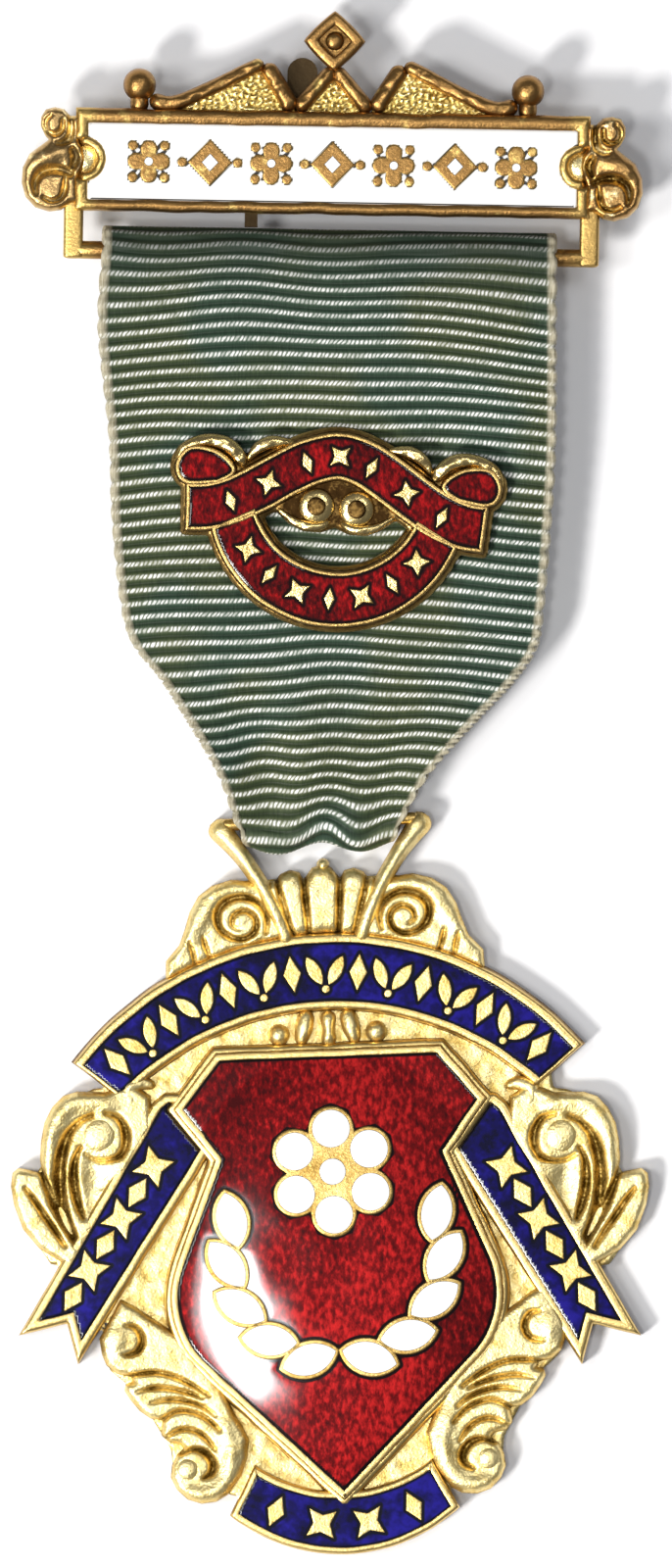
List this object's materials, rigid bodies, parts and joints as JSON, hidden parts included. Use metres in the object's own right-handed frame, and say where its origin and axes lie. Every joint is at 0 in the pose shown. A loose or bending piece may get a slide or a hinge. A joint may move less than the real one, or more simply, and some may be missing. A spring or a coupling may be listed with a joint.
{
  "type": "enamelled breast jewel on a ribbon",
  "caption": "Gilt and enamel breast jewel: a brooch bar with a pediment crest, a ribbed ribbon with a small badge, and a shield-shaped scrolled pendant.",
  "frame": {"origin": "middle of the jewel on the surface that it lies on", "axes": "+Y up the jewel's length towards the crest, +X to the right across it, +Z out of its face"},
  "size_m": [0.0424, 0.1024, 0.0061],
  "materials": {
    "bar_gilt": "worn gilding, coppery on the raised edges",
    "badge_gilt": "dull gilding",
    "pendant_gilt": "frosted gilding with polished rims",
    "pin_metal": "plain metal",
    "ribbon_cloth": "ribbed silk",
    "white_enamel": "opaque glossy enamel",
    "red_enamel": "clear red enamel over an engraved ground",
    "blue_enamel": "deep blue glossy enamel"
  },
  "bodies": {
    "root": {"brooch_bar": "bar_gilt", "bar_enamel": "white_enamel", "brooch_pin": "pin_metal", "ribbon": "ribbon_cloth", "badge_frame": "badge_gilt", "badge_band_enamel": "red_enamel", "badge_crescent_enamel": "red_enamel", "badge_loop_enamel_left": "red_enamel", "badge_loop_enamel_right": "red_enamel", "pendant_body": "pendant_gilt", "arc_enamel": "blue_enamel", "side_enamel_left": "blue_enamel", "side_enamel_right": "blue_enamel", "base_enamel": "blue_enamel", "shield_enamel": "red_enamel", "charge_enamel": "white_enamel"}
  },
  "joints": []
}
